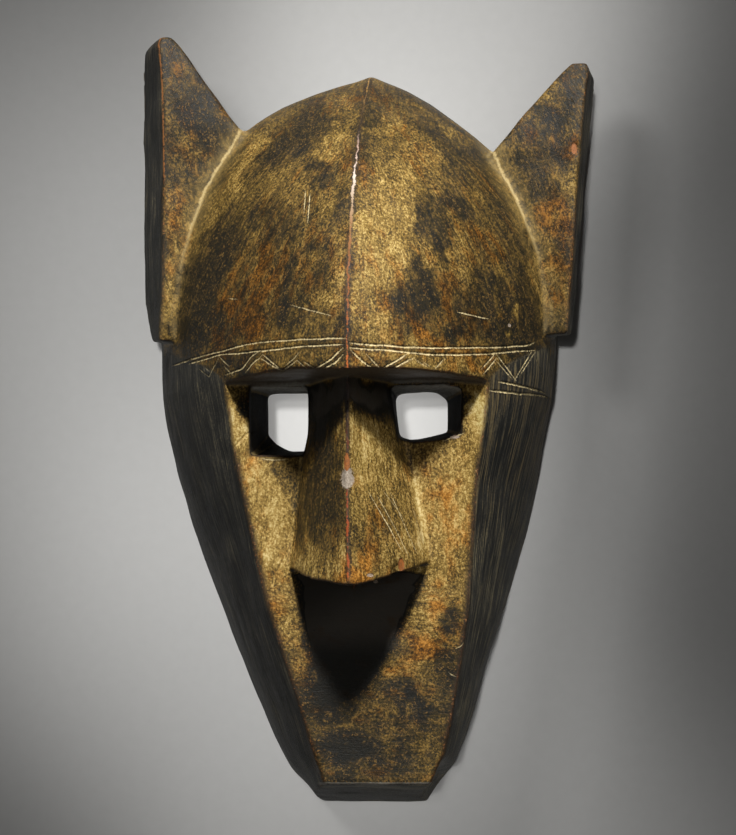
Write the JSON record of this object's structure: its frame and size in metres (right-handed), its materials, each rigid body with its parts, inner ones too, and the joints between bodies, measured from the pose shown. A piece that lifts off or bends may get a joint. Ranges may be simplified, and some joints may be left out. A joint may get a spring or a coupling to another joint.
{
  "type": "carved wooden hyena mask",
  "caption": "Carved wooden face mask with a keeled dome, two upright slab ears, a long wedge nose, square eye holes and a hollow back.",
  "frame": {"origin": "middle of the bounding box in X and Y, on the flat back rim that the mask lies on (Z = 0)", "axes": "+X to the right as one looks at the face, +Y along the mask from the chin to the ears, +Z out of the face"},
  "size_m": [0.255, 0.424, 0.162],
  "materials": {
    "wood": "hand-carved, dark worn patina with a low sheen"
  },
  "bodies": {
    "root": {"mask": "wood"}
  },
  "joints": []
}
